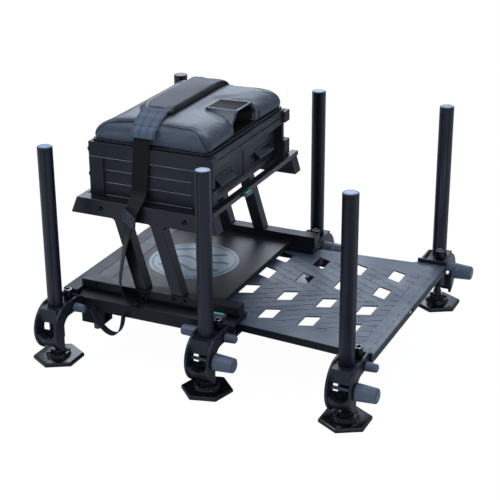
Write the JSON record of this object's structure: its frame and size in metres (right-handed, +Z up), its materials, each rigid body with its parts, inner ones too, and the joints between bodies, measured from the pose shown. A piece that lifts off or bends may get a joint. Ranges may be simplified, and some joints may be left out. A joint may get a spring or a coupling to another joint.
{
  "type": "fishing seat box",
  "caption": "Padded box seat on a two-rail base with a slide-out footplate, drawers, a hinged lid and adjustable round legs with swivelling feet.",
  "frame": {"origin": "on the ground under the middle of the whole object", "axes": "+X towards the footplate, the way the angler faces; +Y to the angler's left; +Z up"},
  "size_m": [0.876, 0.7874, 0.5893],
  "materials": {
    "anodised_tube": "satin black anodised",
    "coated_aluminium": "satin black powder coat",
    "foot_metal": "gloss black coat",
    "knob_plastic": "moulded black",
    "deck_panel": "gloss grey-black",
    "footplate_metal": "textured grey coat",
    "box_plastic": "moulded charcoal",
    "cushion_vinyl": "blue-grey vinyl",
    "handle_plastic": "moulded dark grey",
    "strap_pad": "woven nylon",
    "webbing": "woven webbing",
    "steel": "plated",
    "vial": "clear green"
  },
  "bodies": {
    "base": {"side_rail_right": "coated_aluminium", "side_rail_left": "coated_aluminium", "rear_cross_rail": "coated_aluminium", "front_cross_rail": "coated_aluminium", "deck_panel": "deck_panel", "seat_frame_right": "coated_aluminium", "seat_frame_left": "coated_aluminium", "upper_crossbars": "coated_aluminium", "seat_bearers": "coated_aluminium", "box_casing": "box_plastic", "corner_posts": "box_plastic", "seat_tray": "box_plastic", "lid_hinge_pin": "steel", "strap_webbing": "webbing", "strap_buckles": "knob_plastic", "strap_tail": "webbing", "spirit_levels": "box_plastic", "level_vials": "vial", "frame_bolts": "steel", "accessory_socket": "coated_aluminium", "block_screws_base": "steel", "leg_block_rear_right": "coated_aluminium", "leg_block_rear_left": "coated_aluminium", "leg_block_mid_right": "coated_aluminium", "leg_block_mid_left": "coated_aluminium"},
    "footplate": {"footplate": "footplate_metal", "leg_block_front_right": "coated_aluminium", "leg_block_front_left": "coated_aluminium", "block_screws_front": "steel"},
    "lid": {"lid_panel": "box_plastic", "seat_cushion": "cushion_vinyl", "lift_handle": "handle_plastic", "shoulder_pad": "strap_pad"},
    "drawer_right": {"drawer_right": "box_plastic"},
    "drawer_left": {"drawer_left": "box_plastic"},
    "latch_right": {"drawer_latch_right": "box_plastic"},
    "latch_left": {"drawer_latch_left": "box_plastic"},
    "socket_screw": {"socket_screw": "knob_plastic"},
    "leg_rear_right": {"leg_tube_rear_right": "anodised_tube"},
    "foot_rear_right": {"foot_rear_right": "foot_metal"},
    "lock_rear_right": {"lock_knob_rear_right": "knob_plastic"},
    "leg_rear_left": {"leg_tube_rear_left": "anodised_tube"},
    "foot_rear_left": {"foot_rear_left": "foot_metal"},
    "lock_rear_left": {"lock_knob_rear_left": "knob_plastic"},
    "leg_mid_right": {"leg_tube_mid_right": "anodised_tube"},
    "foot_mid_right": {"foot_mid_right": "foot_metal"},
    "clamp_mid_right": {"clamp_knob_mid_right": "knob_plastic"},
    "lock_mid_right": {"lock_knob_mid_right": "knob_plastic"},
    "leg_mid_left": {"leg_tube_mid_left": "anodised_tube"},
    "foot_mid_left": {"foot_mid_left": "foot_metal"},
    "clamp_mid_left": {"clamp_knob_mid_left": "knob_plastic"},
    "lock_mid_left": {"lock_knob_mid_left": "knob_plastic"},
    "leg_front_right": {"leg_tube_front_right": "anodised_tube"},
    "foot_front_right": {"foot_front_right": "foot_metal"},
    "clamp_front_right": {"clamp_knob_front_right": "knob_plastic"},
    "lock_front_right": {"lock_knob_front_right": "knob_plastic"},
    "leg_front_left": {"leg_tube_front_left": "anodised_tube"},
    "foot_front_left": {"foot_front_left": "foot_metal"},
    "clamp_front_left": {"clamp_knob_front_left": "knob_plastic"},
    "lock_front_left": {"lock_knob_front_left": "knob_plastic"}
  },
  "joints": [
    {"name": "footplate_slide", "type": "slide", "parent": "base", "child": "footplate", "axis": [1, 0, 0], "range_m": [-0.2, 0]},
    {"name": "lid_hinge", "type": "hinge", "parent": "base", "child": "lid", "pos_m": [-0.349, 0, 0.5194], "axis": [0, -1, 0], "range_deg": [0, 85]},
    {"name": "drawer_right_slide", "type": "slide", "parent": "base", "child": "drawer_right", "axis": [1, 0, 0], "range_m": [0, 0.22]},
    {"name": "latch_right_turn", "type": "hinge", "parent": "drawer_right", "child": "latch_right", "pos_m": [-0.0475, -0.108, 0.4475], "axis": [0, -1, 0], "range_deg": [0, 35], "stiffness_Nm_per_rad": 0.02, "springref_deg": -28.65},
    {"name": "drawer_left_slide", "type": "slide", "parent": "base", "child": "drawer_left", "axis": [1, 0, 0], "range_m": [0, 0.22]},
    {"name": "latch_left_turn", "type": "hinge", "parent": "drawer_left", "child": "latch_left", "pos_m": [-0.0475, 0.108, 0.4475], "axis": [0, -1, 0], "range_deg": [0, 35], "stiffness_Nm_per_rad": 0.02, "springref_deg": -28.65},
    {"name": "leg_rear_right_slide", "type": "slide", "parent": "base", "child": "leg_rear_right", "axis": [0, 0, -1], "range_m": [0, 0.35]},
    {"name": "foot_rear_right_tilt", "type": "hinge", "parent": "leg_rear_right", "child": "foot_rear_right", "pos_m": [-0.385, -0.3325, 0.022], "axis": [1, 0, 0], "range_deg": [-18, 18]},
    {"name": "lock_rear_right_turn", "type": "hinge", "parent": "base", "child": "lock_rear_right", "pos_m": [-0.338, -0.2995, 0.126], "axis": [1, 0, 0], "range_deg": [0, 540]},
    {"name": "leg_rear_left_slide", "type": "slide", "parent": "base", "child": "leg_rear_left", "axis": [0, 0, -1], "range_m": [0, 0.35]},
    {"name": "foot_rear_left_tilt", "type": "hinge", "parent": "leg_rear_left", "child": "foot_rear_left", "pos_m": [-0.385, 0.3325, 0.022], "axis": [1, 0, 0], "range_deg": [-18, 18]},
    {"name": "lock_rear_left_turn", "type": "hinge", "parent": "base", "child": "lock_rear_left", "pos_m": [-0.338, 0.2995, 0.126], "axis": [1, 0, 0], "range_deg": [0, 540]},
    {"name": "leg_mid_right_slide", "type": "slide", "parent": "base", "child": "leg_mid_right", "axis": [0, 0, -1], "range_m": [0, 0.35]},
    {"name": "foot_mid_right_tilt", "type": "hinge", "parent": "leg_mid_right", "child": "foot_mid_right", "pos_m": [0.015, -0.3325, 0.022], "axis": [1, 0, 0], "range_deg": [-18, 18]},
    {"name": "clamp_mid_right_turn", "type": "hinge", "parent": "base", "child": "clamp_mid_right", "pos_m": [0.073, -0.356, 0.091], "axis": [1, 0, 0], "range_deg": [0, 540]},
    {"name": "lock_mid_right_turn", "type": "hinge", "parent": "base", "child": "lock_mid_right", "pos_m": [0.062, -0.2995, 0.126], "axis": [1, 0, 0], "range_deg": [0, 540]},
    {"name": "leg_mid_left_slide", "type": "slide", "parent": "base", "child": "leg_mid_left", "axis": [0, 0, -1], "range_m": [0, 0.35]},
    {"name": "foot_mid_left_tilt", "type": "hinge", "parent": "leg_mid_left", "child": "foot_mid_left", "pos_m": [0.015, 0.3325, 0.022], "axis": [1, 0, 0], "range_deg": [-18, 18]},
    {"name": "clamp_mid_left_turn", "type": "hinge", "parent": "base", "child": "clamp_mid_left", "pos_m": [0.073, 0.356, 0.091], "axis": [1, 0, 0], "range_deg": [0, 540]},
    {"name": "lock_mid_left_turn", "type": "hinge", "parent": "base", "child": "lock_mid_left", "pos_m": [0.062, 0.2995, 0.126], "axis": [1, 0, 0], "range_deg": [0, 540]},
    {"name": "leg_front_right_slide", "type": "slide", "parent": "footplate", "child": "leg_front_right", "axis": [0, 0, -1], "range_m": [0, 0.35]},
    {"name": "foot_front_right_tilt", "type": "hinge", "parent": "leg_front_right", "child": "foot_front_right", "pos_m": [0.355, -0.3325, 0.022], "axis": [1, 0, 0], "range_deg": [-18, 18]},
    {"name": "clamp_front_right_turn", "type": "hinge", "parent": "footplate", "child": "clamp_front_right", "pos_m": [0.413, -0.356, 0.091], "axis": [1, 0, 0], "range_deg": [0, 540]},
    {"name": "lock_front_right_turn", "type": "hinge", "parent": "footplate", "child": "lock_front_right", "pos_m": [0.402, -0.2995, 0.126], "axis": [1, 0, 0], "range_deg": [0, 540]},
    {"name": "leg_front_left_slide", "type": "slide", "parent": "footplate", "child": "leg_front_left", "axis": [0, 0, -1], "range_m": [0, 0.35]},
    {"name": "foot_front_left_tilt", "type": "hinge", "parent": "leg_front_left", "child": "foot_front_left", "pos_m": [0.355, 0.3325, 0.022], "axis": [1, 0, 0], "range_deg": [-18, 18]},
    {"name": "clamp_front_left_turn", "type": "hinge", "parent": "footplate", "child": "clamp_front_left", "pos_m": [0.413, 0.356, 0.091], "axis": [1, 0, 0], "range_deg": [0, 540]},
    {"name": "lock_front_left_turn", "type": "hinge", "parent": "footplate", "child": "lock_front_left", "pos_m": [0.402, 0.2995, 0.126], "axis": [1, 0, 0], "range_deg": [0, 540]},
    {"name": "socket_screw_turn", "type": "hinge", "parent": "base", "child": "socket_screw", "pos_m": [-0.327, -0.2425, 0.06], "axis": [0, 0, -1], "range_deg": [0, 540]}
  ]
}
